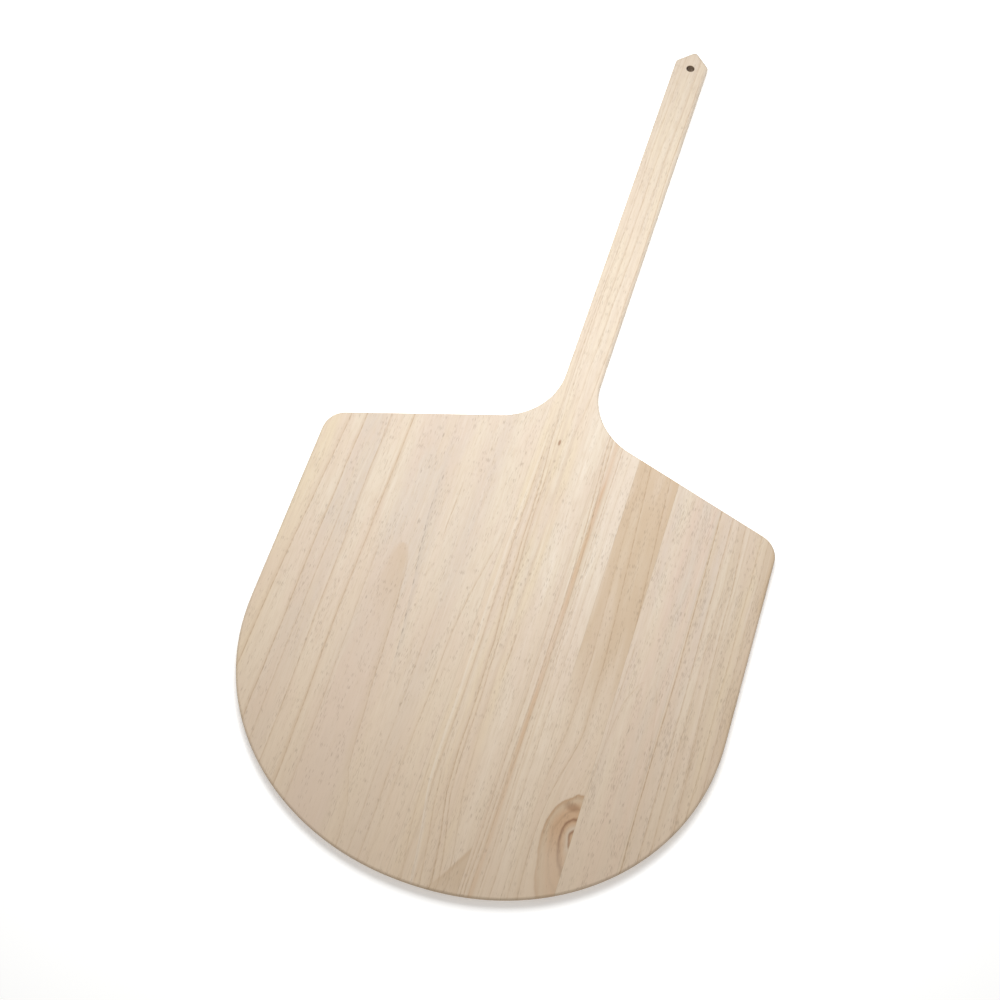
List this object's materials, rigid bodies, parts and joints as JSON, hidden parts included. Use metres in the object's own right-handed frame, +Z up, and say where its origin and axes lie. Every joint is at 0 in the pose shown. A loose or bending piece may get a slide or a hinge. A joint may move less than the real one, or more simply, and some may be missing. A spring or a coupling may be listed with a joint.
{
  "type": "pizza peel",
  "caption": "Flat wooden pizza peel with a wide round-fronted blade, a straight handle with a pointed end, and a hanging hole. Edge-glued solid boards.",
  "frame": {"origin": "centre of the outline's bounding box, on the underside that the peel rests on", "axes": "+Y from the blade's rounded front towards the end of the handle, +Z up out of the working face, +X to the right seen from above with the handle away from the viewer"},
  "size_m": [0.508, 1.0668, 0.012],
  "materials": {
    "left_wing_wood": "bare sanded wood, matte",
    "handle_wood": "bare sanded wood, matte",
    "streaked_wood": "bare sanded wood, matte",
    "knot_wood": "bare sanded wood, matte",
    "pale_wood": "bare sanded wood, matte",
    "right_edge_wood": "bare sanded wood, matte"
  },
  "bodies": {
    "root": {"left_wing_board": "left_wing_wood", "handle_board": "handle_wood", "streaked_board": "streaked_wood", "knot_board": "knot_wood", "pale_board": "pale_wood", "right_edge_board": "right_edge_wood"}
  },
  "joints": []
}
